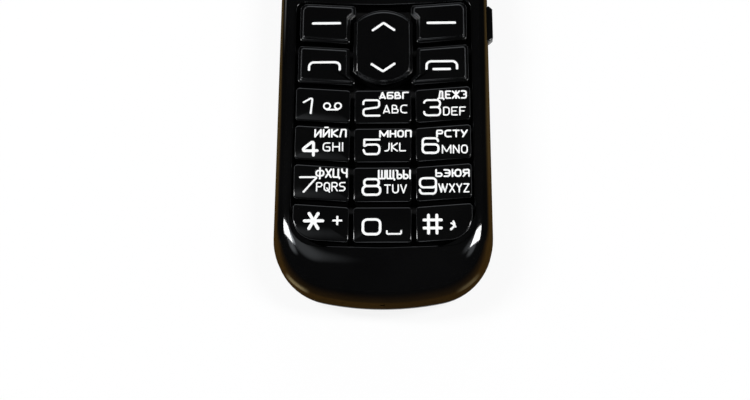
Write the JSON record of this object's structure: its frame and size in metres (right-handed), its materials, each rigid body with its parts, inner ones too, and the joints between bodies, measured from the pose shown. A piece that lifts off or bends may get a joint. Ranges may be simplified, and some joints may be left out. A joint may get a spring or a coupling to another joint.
{
  "type": "mobile phone",
  "caption": "Small black bar phone: pressable number, call and soft keys, two-way rocker, side key, display window and a back cover that slides off its battery bay.",
  "frame": {"origin": "on the flat back, midway between the two ends and between the side walls", "axes": "+Z out of the face, +Y from the chin to the earpiece end, +X to the phone's right as the keys are read, where the side key is"},
  "size_m": [0.0464, 0.106, 0.0145],
  "materials": {
    "shell_gloss": "piano black, high gloss, fine hairline scuffs",
    "key_gloss": "high gloss black caps",
    "cover_satin": "fine spark-eroded texture",
    "chassis_plastic": "moulded satin",
    "window_clear": "clear hard-coated acrylic over a black printed border",
    "foam": "fine cell foam",
    "display_glass": "dark display glass, switched off",
    "holder_plastic": "moulded black plastic",
    "capsule": "dark moulded capsule",
    "mesh": "fine woven dust mesh",
    "silicone": "translucent grey silicone",
    "dome_foil": "polyester foil over steel domes",
    "board": "green solder mask",
    "tinplate": "pressed tin-plated sheet",
    "gold": "gold-plated contacts",
    "battery_wrap": "printed-free grey wrap",
    "screw_steel": "dark zinc"
  },
  "bodies": {
    "root": {"front_shell": "shell_gloss", "display_window": "window_clear", "window_gasket": "foam", "display_module": "display_glass", "display_holder": "holder_plastic", "earpiece": "capsule", "earpiece_mesh": "mesh", "keymat": "silicone", "dome_sheet": "dome_foil", "main_board": "board", "shield_can": "tinplate", "side_switch": "tinplate", "microphone": "tinplate", "loudspeaker": "capsule", "vibration_motor": "tinplate", "audio_jack": "holder_plastic", "charging_socket": "tinplate", "antenna_carrier": "holder_plastic", "antenna": "gold", "battery_contacts": "gold", "battery": "battery_wrap", "sim_holder": "tinplate", "rear_shell": "chassis_plastic", "screws": "screw_steel"},
    "key_soft_left": {"key_soft_left": "key_gloss"},
    "key_soft_right": {"key_soft_right": "key_gloss"},
    "key_call": {"key_call": "key_gloss"},
    "key_end": {"key_end": "key_gloss"},
    "key_nav": {"key_nav": "key_gloss"},
    "key_1": {"key_1": "key_gloss"},
    "key_2": {"key_2": "key_gloss"},
    "key_3": {"key_3": "key_gloss"},
    "key_4": {"key_4": "key_gloss"},
    "key_5": {"key_5": "key_gloss"},
    "key_6": {"key_6": "key_gloss"},
    "key_7": {"key_7": "key_gloss"},
    "key_8": {"key_8": "key_gloss"},
    "key_9": {"key_9": "key_gloss"},
    "key_star": {"key_star": "key_gloss"},
    "key_0": {"key_0": "key_gloss"},
    "key_hash": {"key_hash": "key_gloss"},
    "side_key": {"side_key": "key_gloss"},
    "battery_cover": {"battery_cover": "cover_satin"}
  },
  "joints": [
    {"name": "key_soft_left_press", "type": "slide", "parent": "root", "child": "key_soft_left", "axis": [0, 0, -1], "range_m": [0, 0.0004], "stiffness_N_per_m": 300},
    {"name": "key_soft_right_press", "type": "slide", "parent": "root", "child": "key_soft_right", "axis": [0, 0, -1], "range_m": [0, 0.0004], "stiffness_N_per_m": 300},
    {"name": "key_call_press", "type": "slide", "parent": "root", "child": "key_call", "axis": [0, 0, -1], "range_m": [0, 0.0004], "stiffness_N_per_m": 300},
    {"name": "key_end_press", "type": "slide", "parent": "root", "child": "key_end", "axis": [0, 0, -1], "range_m": [0, 0.0004], "stiffness_N_per_m": 300},
    {"name": "key_nav_rock", "type": "hinge", "parent": "root", "child": "key_nav", "pos_m": [0, 0.0025, 0.01048], "axis": [1, 0, 0], "range_deg": [-2.5, 2.5], "stiffness_Nm_per_rad": 0.05},
    {"name": "key_1_press", "type": "slide", "parent": "root", "child": "key_1", "axis": [0, 0, -1], "range_m": [0, 0.0004], "stiffness_N_per_m": 300},
    {"name": "key_2_press", "type": "slide", "parent": "root", "child": "key_2", "axis": [0, 0, -1], "range_m": [0, 0.0004], "stiffness_N_per_m": 300},
    {"name": "key_3_press", "type": "slide", "parent": "root", "child": "key_3", "axis": [0, 0, -1], "range_m": [0, 0.0004], "stiffness_N_per_m": 300},
    {"name": "key_4_press", "type": "slide", "parent": "root", "child": "key_4", "axis": [0, 0, -1], "range_m": [0, 0.0004], "stiffness_N_per_m": 300},
    {"name": "key_5_press", "type": "slide", "parent": "root", "child": "key_5", "axis": [0, 0, -1], "range_m": [0, 0.0004], "stiffness_N_per_m": 300},
    {"name": "key_6_press", "type": "slide", "parent": "root", "child": "key_6", "axis": [0, 0, -1], "range_m": [0, 0.0004], "stiffness_N_per_m": 300},
    {"name": "key_7_press", "type": "slide", "parent": "root", "child": "key_7", "axis": [0, 0, -1], "range_m": [0, 0.0004], "stiffness_N_per_m": 300},
    {"name": "key_8_press", "type": "slide", "parent": "root", "child": "key_8", "axis": [0, 0, -1], "range_m": [0, 0.0004], "stiffness_N_per_m": 300},
    {"name": "key_9_press", "type": "slide", "parent": "root", "child": "key_9", "axis": [0, 0, -1], "range_m": [0, 0.0004], "stiffness_N_per_m": 300},
    {"name": "key_star_press", "type": "slide", "parent": "root", "child": "key_star", "axis": [0, 0, -1], "range_m": [0, 0.0004], "stiffness_N_per_m": 300},
    {"name": "key_0_press", "type": "slide", "parent": "root", "child": "key_0", "axis": [0, 0, -1], "range_m": [0, 0.0004], "stiffness_N_per_m": 300},
    {"name": "key_hash_press", "type": "slide", "parent": "root", "child": "key_hash", "axis": [0, 0, -1], "range_m": [0, 0.0004], "stiffness_N_per_m": 300},
    {"name": "side_key_press", "type": "slide", "parent": "root", "child": "side_key", "axis": [-1, 0, 0], "range_m": [0, 0.0003], "stiffness_N_per_m": 300},
    {"name": "battery_cover_slide", "type": "slide", "parent": "root", "child": "battery_cover", "axis": [0, -1, 0], "range_m": [0, 0.092]}
  ]
}
